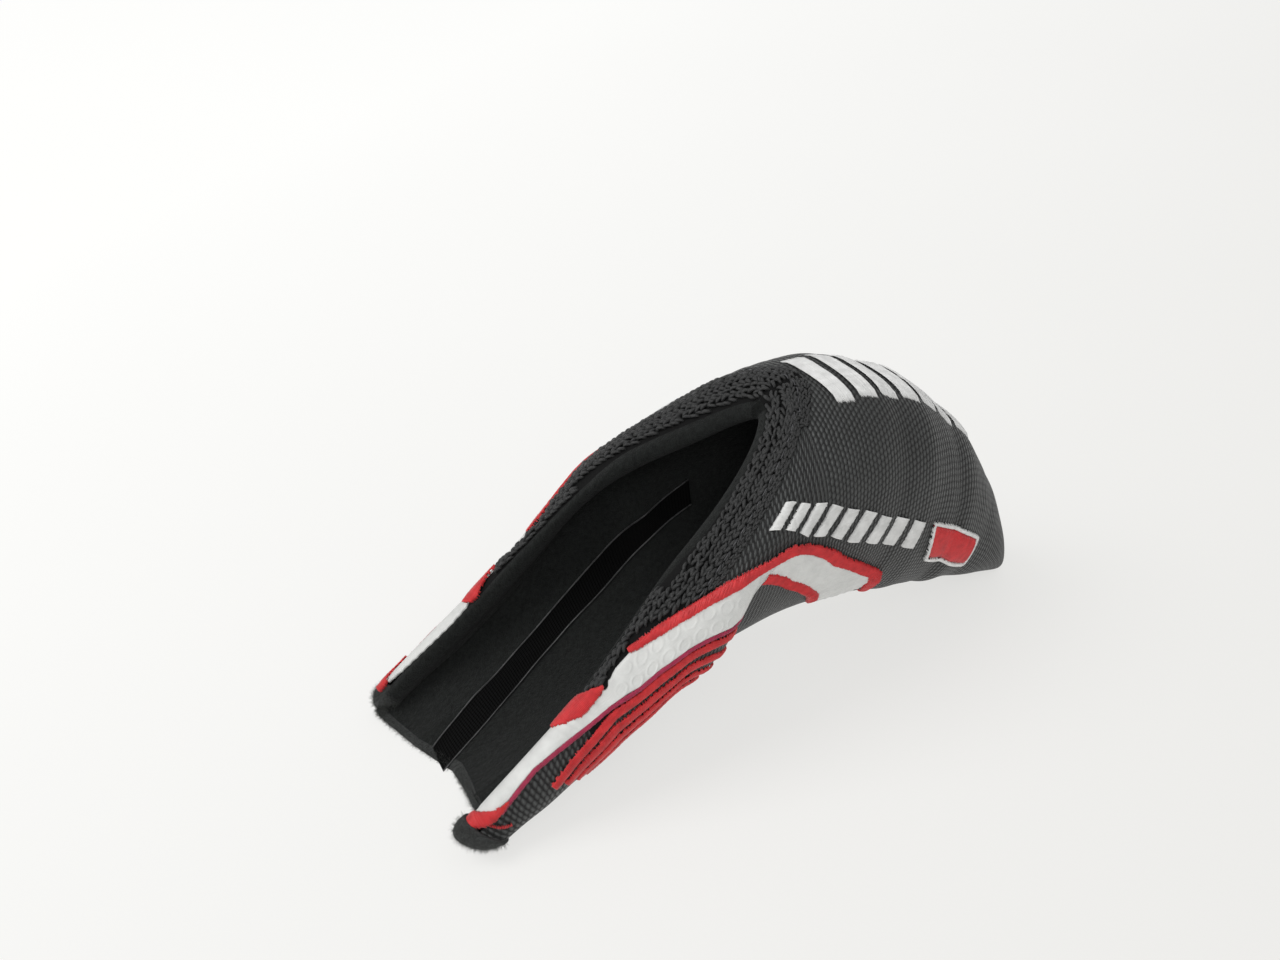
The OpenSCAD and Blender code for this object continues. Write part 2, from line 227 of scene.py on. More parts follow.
def edge_at(angle, out_by):
    """A point of the chart out_by beyond the slit's edge, at an angle round it, with its way out."""
    c = np.maximum(0.001, np.cos(angle))
    run_x = -SLIT_LEN * 2 / SLIT_POWER * c ** (2 / SLIT_POWER - 1) * np.sin(angle)
    out = unit(np.stack([SLIT_HALF * c, -run_x], -1))
    return np.stack([c ** (2 / SLIT_POWER) * SLIT_LEN, SLIT_HALF * np.sin(angle)], -1) + out * out_by, out


# The slit's edge, worked out once for the left side: place in the chart, way out, point in space, and
# the ways into the cloth and away from the slit
LAST_DEG = 89.9
EDGE_ANGLES = np.radians(np.linspace(0, LAST_DEG, 1800))
edge_flat, edge_out = edge_at(EDGE_ANGLES, 0.0)
edge_base = even_skin(*chart_tv(*edge_flat.T), 0, LEFT)
edge_next = even_skin(*chart_tv(*edge_at(EDGE_ANGLES, 1.0)[0].T), 0, LEFT)
edge_run = unit(np.gradient(edge_base, axis=0))
edge_in = unit(np.cross(edge_run, unit(edge_next - edge_base)))
edge_away = np.cross(edge_in, edge_run)
NOSE = 4.6  # how much longer than round the padded edge is towards the slit, round its closed end


def rim(degrees, q, lift, side):
    """Points round the slit's edge. q > 0 is out on the cover, from 0 to -pi LIP_R it rolls over the lip,
    and below that it goes down the lining. lift is how far the point stands off the cloth."""
    degrees, q, lift, side = np.broadcast_arrays(*[np.asarray(a, float) for a in (degrees, q, lift, side)])
    flat, out, base, inward, away = (read_at(np.radians(degrees), EDGE_ANGLES, table) for table in (
        edge_flat, edge_out, edge_base, edge_in, edge_away))
    flip = np.stack([np.ones_like(side), side, np.ones_like(side)], -1)

    def cloth(by, d):
        at = flat + out * by[..., None]
        return even_skin(*chart_tv(at[..., 0], at[..., 1]), d, side) * flip

    beyond, deep = np.maximum(q, 0), np.maximum(-q - math.pi * LIP_R, 0)
    turn = np.clip(-q / LIP_R, 0, math.pi)
    radius = LIP_R + lift
    nose = radius + NOSE * smooth(78, 50, degrees)
    lip = base + inward * (LIP_R - radius * np.cos(turn))[..., None] - away * (nose * np.sin(turn))[..., None]
    over = mix(base - inward * lift[..., None] + away * beyond[..., None], cloth(beyond, -lift),
               smooth(0, 2.5, beyond)[..., None])
    under = mix(lip + away * deep[..., None], cloth(deep, SHELL_T + lift), smooth(0, 3, deep)[..., None])
    return fuller(np.where((q >= 0)[..., None], over, np.where((deep > 0)[..., None], under, lip)) * flip)


def place(t, v, lift, side):
    """A point lift above the cover. In the neck, v past 1 rolls over the slit's edge."""
    t, v, lift, side = np.broadcast_arrays(*[np.asarray(a, float) for a in (t, v, lift, side)])
    p = skin(t, v, -lift, side)
    near = (t < T_SLIT - 0.02) & (v > 0.9)
    if near.any():
        tn, vn = t[near], v[near]
        degrees = np.degrees(np.arccos(np.clip(tn / T_SLIT, 0.0, 1) ** (SLIT_POWER / 2)))
        degrees = np.minimum(degrees, LAST_DEG)
        rolled = rim(degrees, (1 - vn) * reach(tn), lift[near], side[near])
        rolled[:, 0] += skin(tn, 1.0, 0, side[near])[:, 0] - rim(degrees, 0, 0, side[near])[:, 0]
        p[near] = mix(p[near], rolled, smooth(0.94, 1.0, vn)[:, None])
    return p


# ---------------------------------------------------------------- meshes
def solid_mesh(name, points, quads, material, cells=None, normals=None):
    """A closed mesh of quads, turned the right way out, with one material and cells as its UV map."""
    a, b, c, d = (points[quads[:, i]] for i in range(4))
    if (np.cross(c - a, d - b) * (a + b + c + d)).sum() < 0:
        quads = quads[:, ::-1]
    mesh = bpy.data.meshes.new(name)
    mesh.vertices.add(len(points))
    mesh.vertices.foreach_set("co", (points * MM).astype(np.float32).ravel())
    mesh.loops.add(quads.size)
    mesh.loops.foreach_set("vertex_index", quads.astype(np.int32).ravel())
    mesh.polygons.add(len(quads))
    mesh.polygons.foreach_set("loop_start", np.arange(0, quads.size, 4, dtype=np.int32))
    mesh.update(calc_edges=True)
    mesh.validate()
    mesh.shade_smooth()
    if cells is not None:
        layer = mesh.uv_layers.new(name="cells")
        layer.data.foreach_set("uv", cells[quads.ravel()].astype(np.float32).ravel())
    if normals is not None:
        mesh.normals_split_custom_set_from_vertices(normals)
    piece = bpy.data.objects.new(name, mesh)
    bpy.context.scene.collection.objects.link(piece)
    mesh.materials.append(material)
    return piece


def slab(outer, inner):
    """Points and quads of a closed sheet between two grids of points of the same size."""
    n, m = outer.shape[:2]
    at = np.arange(n * m).reshape(n, m)
    top = np.stack([at[:-1, :-1], at[1:, :-1], at[1:, 1:], at[:-1, 1:]], -1).reshape(-1, 4)
    border = np.concatenate([at[:, 0], at[-1, 1:], at[-2::-1, -1], at[0, -2:0:-1]])
    after = np.roll(border, -1)
    wall = np.stack([after, border, border + n * m, after + n * m], -1)
    return (np.concatenate([outer.reshape(-1, 3), inner.reshape(-1, 3)]),
            np.concatenate([top, (top + n * m)[:, ::-1], wall]))


def tubes(paths, radii, sides=4):
    """Points and quads of threads with four or six sides and closed ends. paths is (threads, points, 3)."""
    count, k = paths.shape[:2]
    run = unit(np.gradient(paths, axis=1))
    lead = np.eye(3)[np.abs(run.mean(1)).argmin(-1)][:, None]
    u = unit(np.cross(run, lead))
    w = np.cross(run, u)
    turn = np.linspace(0, 2 * math.pi, sides, endpoint=False)
    ring = u[:, :, None] * np.cos(turn)[:, None] + w[:, :, None] * np.sin(turn)[:, None]
    points = (paths[:, :, None] + ring * np.asarray(radii)[..., None, None]).reshape(-1, 3)
    at = np.arange(count * k * sides).reshape(count, k, sides)
    nxt = np.roll(at, -1, axis=2)
    round_quads = np.stack([at[:, :-1], nxt[:, :-1], nxt[:, 1:], at[:, 1:]], -1).reshape(-1, 4)
    caps = [[0, 1, 2, 3]] if sides == 4 else [[0, 1, 2, 5], [2, 3, 4, 5]]
    ends = [at[:, 0][:, c[::-1]] for c in caps] + [at[:, -1][:, c] for c in caps]
    return points, np.concatenate([round_quads] + ends)


def joined(parts):
    """Several (points, quads) pairs as one."""
    shift = np.cumsum([0] + [len(points) for points, _ in parts])
    quads = [quads + by for (_, quads), by in zip(parts, shift)]
    return np.concatenate([points for points, _ in parts]), np.concatenate(quads)


hinge_way = Vector((math.cos(NECK_SLOPE), 0, math.sin(NECK_SLOPE)))


def hang(piece, replaced=(), body=None):
    """The piece's placement is baked into its mesh, or it rides on one body, and the CAD nodes it stands for
    are hidden.
    """
    if body:
        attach(piece, body)
    else:
        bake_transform(piece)
    if replaced:
        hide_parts(*replaced)
    return piece


# ---------------------------------------------------------------- materials
class Shader:
    """One Principled material, with short calls for its nodes."""

    def __init__(self, name, roughness, sheen=0.0, sheen_rough=0.5, specular=0.5):
        self.material = bpy.data.materials.new(name)
        self.material.use_nodes = True
        self.tree = self.material.node_tree
        self.surface = self.tree.nodes["Principled BSDF"]
        for socket, value in (("Roughness", roughness), ("Sheen Weight", sheen),
                              ("Sheen Roughness", sheen_rough), ("Specular IOR Level", specular)):
            self.surface.inputs[socket].default_value = value

    def node(self, kind, out, settings=(), **inputs):
        """A new node's output. Inputs go by name, or as i0, i1 and so on by place."""
        made = self.tree.nodes.new(kind)
        for key, value in dict(settings).items():
            setattr(made, key, value)
        for key, value in inputs.items():
            socket = made.inputs[int(key[1:]) if key[1:].isdigit() else key.replace("_", " ")]
            if isinstance(value, bpy.types.NodeSocket):
                self.tree.links.new(value, socket)
            else:
                socket.default_value = value
        return made.outputs[out]

    def math(self, operation, a, b=0.0):
        return self.node("ShaderNodeMath", 0, {"operation": operation}, i0=a, i1=b)

    def add(self, a, b):
        return self.math("ADD", a, b)

    def less(self, a, b):
        return self.math("SUBTRACT", a, b)

    def times(self, a, b):
        return self.math("MULTIPLY", a, b)

    def split(self, vector):
        made = self.tree.nodes.new("ShaderNodeSeparateXYZ")
        self.tree.links.new(vector, made.inputs[0])
        return made.outputs[0], made.outputs[1]

    def cells(self):
        """The mesh's own count of loops or threads, across and along the cloth."""
        return self.split(self.node("ShaderNodeUVMap", 0, {"uv_map": "cells"}))

    def where(self):
        return self.node("ShaderNodeTexCoord", "Object")

    def noise(self, per_metre, detail=2.0, rough=0.5):
        return self.node("ShaderNodeTexNoise", 0, Vector=self.where(), Scale=per_metre,
                         Detail=detail, Roughness=rough)

    def ramp(self, value, *stops):
        made = self.tree.nodes.new("ShaderNodeValToRGB")
        self.tree.links.new(value, made.inputs[0])
        for i, (at, colour) in enumerate(stops):
            stop = made.color_ramp.elements[i] if i < 2 else made.color_ramp.elements.new(at)
            stop.position, stop.color = at, (*colour, 1)
        return made.outputs[0]

    def finish(self, colour, height, bump, roughness=None):
        """The material, with its colour, and with a relief that is bump millimetres deep."""
        self.tree.links.new(colour, self.surface.inputs["Base Color"])
        made = self.node("ShaderNodeBump", 0, Height=height, Strength=1.0, Distance=bump * MM)
        self.tree.links.new(made, self.surface.inputs["Normal"])
        if roughness is not None:
            self.tree.links.new(roughness, self.surface.inputs["Roughness"])
        return self.material


def grey(level, tint=(1, 1, 1)):
    return tuple(level * c for c in tint)


def knit_material():
    """Fine warp knit: columns of small oval loops, every other column half a loop on, with dark gaps."""
    s = Shader("cover_knit", roughness=0.5, sheen=0.06, sheen_rough=0.4, specular=0.42)
    across, along = s.cells()
    sway = s.times(s.less(s.noise(110, 2), 0.5), 0.9)
    across = s.add(across, sway)
    shifted = s.add(along, s.times(s.math("FLOOR", across), 0.5))
    v = s.times(s.less(s.math("FRACT", shifted), 0.5), 1.75)
    aside = s.less(s.math("FRACT", across), 0.5)
    u = s.add(s.times(aside, 2.35), s.times(v, 0.22))
    far = s.math("SQRT", s.add(s.times(u, u), s.times(v, v)))
    loops = s.math("SQRT", s.math("MAXIMUM", s.less(1.08, far), 0.0))
    height = s.add(loops, s.times(s.noise(2600, 3), 0.25))
    tone = s.add(s.times(loops, 0.75), s.times(s.noise(60, 3), 0.4))
    colour = s.ramp(tone, (0.42, grey(0.0008, (0.97, 1.04, 1.0))), (0.98, grey(0.062, (0.97, 1.03, 1.01))))
    return s.finish(colour, height, 0.5, s.add(s.times(loops, -0.2), 0.62))


def cloth_material(name, dark, light, tint, scale, bump, roughness, sheen, specular=0.3):
    """A matt cloth of clumps and fibres, from dark to light grey under a tint."""
    s = Shader(name, roughness=roughness, sheen=sheen, sheen_rough=0.6, specular=specular)
    clumps, fibres = s.noise(scale, 4, 0.65), s.noise(scale * 4, 3, 0.6)
    height = s.add(clumps, s.times(fibres, 0.5))
    colour = s.ramp(height, (0.45, grey(dark, tint)), (0.95, grey(light, tint)))
    return s.finish(colour, height, bump)


def thread_material(name, dark, light, roughness=0.42, sheen=0.15, specular=0.45):
    """Glossy embroidery thread, with fine filaments and small differences of shade."""
    s = Shader(name, roughness=roughness, sheen=sheen, specular=specular)
    shade, filaments = s.noise(420, 3), s.noise(5200, 2)
    colour = s.ramp(shade, (0.3, dark), (0.7, light))
    return s.finish(colour, s.add(shade, filaments), 0.05)


def satin_material():
    """White satin: a fine slanted weave with a soft shine."""
    s = Shader("white_satin", roughness=0.36, sheen=0.1, specular=0.5)
    across, along = s.cells()
    twill = s.math("SINE", s.times(s.add(across, along), math.pi * 5))
    weft = s.math("SINE", s.times(along, math.pi * 9))
    cloth = s.noise(260, 4)
    height = s.add(s.times(twill, 0.3), s.add(s.times(weft, 0.2), cloth))
    colour = s.ramp(cloth, (0.25, (0.56, 0.565, 0.55)), (0.75, (0.68, 0.685, 0.665)))
    return s.finish(colour, height, 0.05, s.add(s.times(cloth, 0.2), 0.28))


def hook_material():
    """Hook tape: a tight grid of tiny glossy hooks."""
    s = Shader("hook_tape", roughness=0.6, specular=0.1)
    across, along = s.cells()
    rows = s.times(s.math("ABSOLUTE", s.math("SINE", s.times(across, math.pi))),
                  s.math("ABSOLUTE", s.math("SINE", s.times(along, math.pi))))
    lint = s.noise(700, 4, 0.7)
    colour = s.ramp(s.add(rows, s.times(lint, 0.6)),
                    (0.5, grey(0.0004)), (1.0, grey(0.0025)))
    return s.finish(colour, rows, 0.3)


KNIT = knit_material()
FLEECE = cloth_material("fleece", 0.0015, 0.013, (0.94, 1.08, 1.0), 800, 0.6, 0.9, 0.06, 0.12)
ENDS = cloth_material("end_cloth", 0.005, 0.046, (0.97, 1.03, 1.0), 1100, 0.35, 0.8, 0.06, 0.3)
FUZZ = cloth_material("fleece_fibres", 0.008, 0.03, (0.96, 1.12, 0.9), 900, 0.05, 0.8, 0.2)
YARN = cloth_material("hem_yarn", 0.001, 0.022, (1, 1.02, 1.03), 1300, 0.25, 0.48, 0.05, 0.5)
# The hem's ground: its own black cloth, made darker still to paint the shade in the gaps between the loops
GROUND_AND_PAINTED_SHADE = cloth_material("hem_ground_painted_shade", 0.001, 0.004, (1, 1, 1.02), 1500, 0.2, 0.8, 0.0, 0.2)
FOAM = cloth_material("foam", 0.2, 0.4, (1, 0.98, 0.9), 600, 0.3, 0.9, 0.0)
WHITE = thread_material("white_thread", (0.62, 0.62, 0.61), (0.78, 0.78, 0.77))
RED = thread_material("red_thread", (0.44, 0.008, 0.012), (0.62, 0.02, 0.024))
MAGENTA = thread_material("magenta_thread", (0.30, 0.010, 0.05), (0.42, 0.02, 0.08))
SATIN = satin_material()
HOOKS = hook_material()
EDGE_CORD = thread_material("tape_edge", (0.015, 0.015, 0.015), (0.06, 0.06, 0.06), 0.3, 0.0, 0.6)
STITCH = thread_material("top_stitch", (0.02, 0.02, 0.022), (0.06, 0.06, 0.065), 0.45, 0.1, 0.5)
TAPE = cloth_material("seam_tape", 0.01, 0.03, (1, 1, 1), 1800, 0.2, 0.7, 0.2)
# The only CAD node that stays in view is the seam tape, so the nodes get its material
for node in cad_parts.values():
    node.data.materials.clear()
    node.data.materials.append(TAPE)

# ---------------------------------------------------------------- cover, foam and lining
WALES, LOOP = 160, 1.9  # columns of loops from end to end, and a loop's length in millimetres
NT, NV = 400, 150  # points of a sheet along the body and from the seam up
# The toe's cap: its rows, how far it bulges in millimetres, and its share of the columns
CAP_ROWS, TOE_BULGE, CAP_CELLS = 10, 1.2, 0.02
TOE_WAY = np.array([math.cos(FOOT_SLOPE), 0, -math.sin(FOOT_SLOPE)])


def capped(grid):
    """The grid with rows that draw its last section together to the middle, and so close the toe."""
    k = np.linspace(0, math.pi / 2, CAP_ROWS + 1)[1:, None, None]
    crown = mix(0.25, 1, np.sin(np.linspace(0, math.pi, grid.shape[1])))[None, :, None]
    y_less = np.concatenate([np.ones_like(k), np.cos(k), np.ones_like(k)], -1)
    rows = grid[-1:] * y_less + TOE_WAY * TOE_BULGE * crown * np.sin(k)
    rows[..., 2] = np.maximum(rows[..., 2], 0)
    return np.concatenate([grid, rows])


def body_sheet(name, side, d_out, d_in, v_top, material, shown_in=False):
    """A closed sheet of the cover's shape, from the seam to the ridge, or to v_top below the slit's edge.
    Its normals come from the side that is seen, and run on over the seam and the ridge."""
    t = np.linspace(0, 1, NT)[:, None]
    k = np.linspace(0, 1, NV)[None, :]
    v = k * np.where(t < T_SLIT, mix(1, v_top, smooth(T_SLIT, T_SLIT - 0.03, t)), 1.0)
    outer, inner = capped(skin(t, v, d_out, side)), capped(skin(t, v, d_in, side))
    t = np.concatenate([t, 1 + np.linspace(0, CAP_CELLS, CAP_ROWS + 1)[1:, None]])
    shown = inner if shown_in else outer
    mirrored = np.array([1, -1, 1])
    neck = (t < T_SLIT)[..., None]
    beyond_top = np.where(neck, 2 * shown[:, -1:] - shown[:, -2:-1], shown[:, -2:-1] * mirrored)
    beyond_seam = shown[:, :1] * mirrored * 2 - shown[:, 1:2]
    wide = np.concatenate([beyond_seam, shown, beyond_top], 1)
    normal = unit(np.cross(np.gradient(shown, axis=0), (wide[:, 2:] - wide[:, :-2]) / 2)) * side * -1
    lengths = np.linalg.norm(np.diff(outer, axis=1), axis=-1)
    down = np.concatenate([np.cumsum(lengths[:, ::-1], 1)[:, ::-1], np.zeros((len(t), 1))], 1)
    cells = np.stack([np.broadcast_to(t * WALES, down.shape), down / LOOP], -1).reshape(-1, 2)
    normals = np.concatenate([normal.reshape(-1, 3), -normal.reshape(-1, 3)])
    points, quads = slab(outer, inner)
    return solid_mesh(name, points, quads, material, np.concatenate([cells, cells]), normals)


for name, side in SIDES.items():
    cover = body_sheet(f"cover_{name}", side, 0, COVER_T, 0.985, KNIT)
    hang(cover, [f"{name}_flap_cover", "foot_cover"])
    foam = body_sheet(f"padding_{name}", side, FOAM_D, FLEECE_D - LAYER_GAP, 0.94, FOAM)
    hang(foam, [f"{name}_flap_padding", "foot_padding"])
    lining = body_sheet(f"lining_{name}", side, FLEECE_D, SHELL_T, 0.93, FLEECE, shown_in=True)
    hang(lining, [f"{name}_flap_lining", "foot_lining"])

# ---------------------------------------------------------------- the slit's edge
HEM_END = 74.5  # degrees round the slit where the coarse hem ends and the satin starts
HEM_WIDE, HEM_LIFT = 9.6, 0.5
ROWS = (-2.5, -1.7, -0.9, -0.1, 1.9, 3.9, 6.4, 8.2)  # millimetres out from the slit's edge
FINE_FROM, FINE = 6, 0.78  # the rows beyond the groove are finer
LOOP_LONG, LOOP_HALF, YARN_R = 2.6, 1.05, 0.52
BINDING_FROM, BINDING_TO, BINDING_LIFT = -24, -2.9, 0.9  # the fleece that is folded round the lip
BINDING_HEEL, HEEL_SPAN = -1.3, (46, 60)  # round the slit's closed end more of the fleece shows
PATCH_EDGE = {"right": -6.6, "left": -3.6}  # where the fleece meets the satin in the neck
STITCH_Q, STITCH_LONG, STITCH_R = 5.3, 3.0, 0.22
# The upper border of the satin and its red outline, as (t, v) pairs
PANEL_HIGH = np.array([(0.0, 1.2), (0.150, 1.05), (0.163, 1.02), (0.180, 0.98), (0.200, 0.99), (0.220, 0.985),
                       (0.235, 0.995), (0.257, 0.975), (0.285, 0.94), (0.346, 0.82), (0.394, 0.72),
                       (0.442, 0.65), (0.525, 0.45), (0.644, 0.32)])


def edge_sheet(q_from, q_to, lift, thick, to_deg, side, q_end=None, q_heel=None):
    """A closed strip that follows the slit's edge, between two distances q from it. Its upper border
    goes to q_end in the neck, where the satin lies on the edge, and to q_heel round the closed end."""
    angle = np.linspace(0, to_deg, 300)[:, None]
    k = np.linspace(0, 1, 60)[None, :]
    q_top = q_to if q_heel is None else mix(q_heel, q_to, smooth(*HEEL_SPAN, angle))
    q_top = q_top if q_end is None else mix(q_top, q_end, smooth(70, 76, angle))
    q = mix(q_from, q_top, k)
    ends = np.minimum(smooth(0, 0.08, k), smooth(1, 0.92, k))
    height = lift * ends - 0.05
    return slab(rim(angle, q, height, side), rim(angle, q, height - thick * ends - 0.1, side))


def covered(t, v):
    """True where the satin patch and its red outline lie on the hem."""
    return (v < np.interp(t, PANEL_HIGH[:, 0], PANEL_HIGH[:, 1]) + 0.035) & (t > 0.12) & (t < 0.66)


def hem_loops(side, seed):
    """Rows of chained loops round the slit, each stitch two slanted strands that meet in a V."""
    luck = np.random.default_rng(seed)
    angles = np.linspace(0, 89.5, 1500)
    k = np.linspace(0, 1, 7)[None, :]
    strands = []
    for row, q in enumerate(ROWS):
        length = lengths_along(rim(angles, q, 0, LEFT))
        fine = FINE if row >= FINE_FROM else 1.0
        spread = LOOP_HALF * (0.4 if q < 0 else 1.0) * fine
        rise = mix(0.85, 0.35, smooth(5.5, HEM_WIDE, q))
        starts = np.arange(0.3 + (row % 2) * 0.9, length[-1], LOOP_LONG * fine * 0.8)
        starts = starts + luck.uniform(-0.35, 0.35, len(starts))

        def chance(least, most):
            return luck.uniform(least, most, len(starts))[:, None]

        for half in (-1, 1):
            along = starts[:, None] + LOOP_LONG * fine * k
            out = q + half * spread * (1 - k) ** 0.8 + chance(-0.2, 0.2)
            lift = HEM_LIFT - 0.3 + rise * np.sin(math.pi * k) ** 0.7 + chance(-0.15, 0.15)
            lift = lift * mix(1.0, 0.45, smooth(HEM_WIDE - 5, HEM_WIDE, out))
            degrees = np.interp(along, length, angles)
            middle = degrees[:, 3]
            flat, _ = edge_at(np.radians(middle), out[:, 3][:, None])
            bare = ~covered(*chart_tv(flat[:, 0], flat[:, 1]))
            keep = bare & (middle < HEM_END) & ((q > BINDING_HEEL) | (middle > HEEL_SPAN[1] - 3))
            radius = YARN_R * fine * (0.7 + 0.3 * np.sin(math.pi * k)) * chance(0.8, 1.12)
            strands.append((rim(degrees, out, lift, side)[keep], radius[keep]))
    paths, radii = (np.concatenate(part) for part in zip(*strands))
    return tubes(paths, radii, sides=6)


def top_stitch(side):
    """A row of sewn stitches in the groove between the hem's coarse and fine loops."""
    angles = np.linspace(0.5, 66, 900)
    length = lengths_along(rim(angles, STITCH_Q, 0, side))
    k = np.linspace(0, 1, 8)[None, :]
    along = np.arange(0, length[-1] - STITCH_LONG, STITCH_LONG * 1.3)[:, None] + STITCH_LONG * k
    degrees = np.interp(along, length, angles)
    flat, _ = edge_at(np.radians(degrees[:, 3]), np.full((len(degrees), 1), STITCH_Q))
    bare = ~covered(*chart_tv(flat[:, 0], flat[:, 1]))
    paths = rim(degrees, STITCH_Q, 0.55 + 0.5 * np.sin(math.pi * k), side)[bare]
    return tubes(paths, np.full(paths.shape[:2], STITCH_R), sides=6)


for name, side in SIDES.items():
    stitches = solid_mesh(f"top_stitch_{name}", *top_stitch(side), STITCH)
    hang(stitches)
    ground = edge_sheet(-6.0, HEM_WIDE, HEM_LIFT - 0.25, 0.7, HEM_END + 0.5, side)
    hem = solid_mesh(f"hem_{name}", *ground, GROUND_AND_PAINTED_SHADE)
    hang(hem, [f"{name}_flap_hem", "heel_hem"])
    loops = solid_mesh(f"hem_loops_{name}", *hem_loops(side, 11 + int(side)), YARN)
    hang(loops)
    fleece = edge_sheet(BINDING_FROM, BINDING_TO, BINDING_LIFT, 1.0, 89.8, side,
                        PATCH_EDGE[name], BINDING_HEEL)
    binding = solid_mesh(f"binding_{name}", *fleece, FLEECE)
    hang(binding)


# ---------------------------------------------------------------- open end
END_OUT, END_T = 3.9, 0.004  # how far the rolled end stands out, and the station where it starts
END_FAT = {RIGHT: 1.75, LEFT: 1.2}  # how much fatter the roll is at the slit's edge
BALL_ROWS, FIBRE_POINTS = 11, 5
FIBRES, FIBRE_LONG = 5200, 0.9


def end_roll(side):
    """The rolled end of a flap: half a tube along the section, closed by a quarter ball at the slit."""
    v = np.linspace(0, 1, 70)
    out = -np.array([hinge_way.x, 0, hinge_way.z])
    outside, inside = skin(END_T, v, 0, side), skin(END_T, v, SHELL_T, side)
    middle, across = (outside + inside) / 2, (outside - inside) / 2
    fat = mix(1.0, END_FAT[side], smooth(0.6, 1, v))[:, None]
    turn = np.linspace(0, math.pi, 25)[None, :, None]
    half = (middle[:, None] + (across * fat)[:, None] * np.cos(turn)
            + out * END_OUT * np.sin(turn) * fat[:, None])
    up = unit(skin(END_T, 1.0, LIP_R, side) - skin(END_T, 0.97, LIP_R, side))
    tilt = np.linspace(0, math.pi / 2, BALL_ROWS + 1)[1:, None, None]
    narrower = np.linspace(1, 0.85, BALL_ROWS + 1)[1:, None, None]
    ball = middle[-1] + fat[-1] * (across[-1] * np.cos(turn) * narrower + (
        out * END_OUT * np.cos(tilt) + up * LIP_R * np.sin(tilt)) * np.sin(turn))
    outer = np.concatenate([half, ball])
    outer[..., 2] = np.maximum(outer[..., 2], 0)
    core = np.concatenate([middle, np.repeat(middle[-1:], BALL_ROWS, 0)])[:, None]
    return outer, core + (outer - core) * 0.72


def fibres(grid, count, length, seed):
    """Short curved fibres that stand off a grid of points."""
    luck = np.random.default_rng(seed)
    n, m = grid.shape[:2]
    i, j = luck.uniform(1, n - 2, count), luck.uniform(1, m - 2, count)
    i0, j0 = i.astype(int), j.astype(int)
    fi, fj = (i - i0)[:, None], (j - j0)[:, None]
    here, next_i, next_j = grid[i0, j0], grid[i0 + 1, j0], grid[i0, j0 + 1]
    root = mix(mix(here, next_i, fi), mix(next_j, grid[i0 + 1, j0 + 1], fi), fj)
    normal = unit(np.cross(next_i - here, next_j - here))
    lean = unit(luck.normal(size=(count, 3)))
    long = luck.uniform(0.4, 1, count)[:, None, None] * length
    k = np.linspace(0, 1, FIBRE_POINTS)
    flip = np.sign(((root - grid[i0, m // 2]) * normal).sum(-1))[:, None]
    flip[flip == 0] = 1
    curl = unit(luck.normal(size=(count, 3)))
    straight = (normal * flip + lean * 0.7)[:, None] * k[None, :, None] * long
    paths = root[:, None] + straight + curl[:, None] * k[None, :, None] ** 2 * long * 0.7
    paths[..., 2] = np.maximum(paths[..., 2], 0.02)
    return tubes(paths, np.broadcast_to(mix(0.035, 0.015, k), (count, FIBRE_POINTS)))


for name, side in SIDES.items():
    outer, inner = end_roll(side)
    roll = solid_mesh(f"end_roll_{name}", *slab(outer, inner), ENDS)
    hang(roll, [f"{name}_flap_end_roll"])
    fuzz = solid_mesh(f"end_fuzz_{name}", *fibres(outer, FIBRES, FIBRE_LONG, 31 + int(side)), FUZZ)
    hang(fuzz)


# ---------------------------------------------------------------- embroidery
PITCH, CLOSE_PITCH = 0.38, 0.36  # millimetres from one satin stitch to the next


def line_points(points, step):
    """The polyline through (t, v) points, cut into even steps of its own length in the (t, v) plane."""
    points = np.asarray(points, float)
    length = lengths_along(points * [2, 1])
    return read_at(np.linspace(0, length[-1], max(2, int(length[-1] / step) + 1)), length, points)


def stitch_rows(low, high, side, pitch, seed, lift=0.25, radius=0.26, jag=0.25):
    """Satin stitches that cross from one line of (t, v) points to the other, a pitch apart. Their ends
    are uneven by up to jag, and go down into the cloth."""
    luck = np.random.default_rng(seed)
    k = np.linspace(0, 1, 400)
    low, high = (at_shares(line_points(line, 0.002), k) for line in (low, high))
    middle = (low + high) / 2
    length = lengths_along(place(*middle.T, 0, side))
    at = np.interp(np.arange(0, length[-1], pitch), length, k)
    wide = np.linalg.norm(place(*low.T, 0, side) - place(*high.T, 0, side), axis=1)
    j = np.linspace(0, 1, 9)[None, :]
    over = (jag * luck.uniform(-1, 1, (len(at), 2))) / np.interp(at, k, wide)[:, None]
    j = mix(-over[:, :1], 1 + over[:, 1:], j)
    tv = mix(at_shares(low, at)[:, None], at_shares(high, at)[:, None], j[..., None])
    end = (j < 0.03) | (j > 0.97)
    rise = lift + 0.35 * np.sin(math.pi * np.clip(j, 0, 1)) ** 0.6 + luck.uniform(-0.05, 0.05, (len(at), 1))
    rise = np.where(end, lift - 0.45, rise)
    return tubes(place(tv[..., 0], tv[..., 1], rise, side), radius * np.where(end, 0.7, 1.0))


def ribbon(points, width, side):
    """The two edges of a band of that width in millimetres about a line of (t, v) points."""
    points = line_points(points, 0.01)
    t, v = points.T
    by = 1e-3
    along_t = (place(t + by, v, 0, side) - place(t - by, v, 0, side)) / (2 * by)
    along_v = (place(t, v + by, 0, side) - place(t, v - by, 0, side)) / (2 * by)
    step = np.gradient(points, axis=0)
    run = unit(along_t * step[:, :1] + along_v * step[:, 1:])
    normal = unit(np.cross(along_t, along_v))
    across = np.cross(normal, run) * width / 2
    g11, g12, g22 = (along_t ** 2).sum(-1), (along_t * along_v).sum(-1), (along_v ** 2).sum(-1)
    r1, r2 = (across * along_t).sum(-1), (across * along_v).sum(-1)
    det = g11 * g22 - g12 ** 2
    shift = np.stack([(r1 * g22 - r2 * g12) / det, (r2 * g11 - r1 * g12) / det], -1)
    return points - shift, points + shift


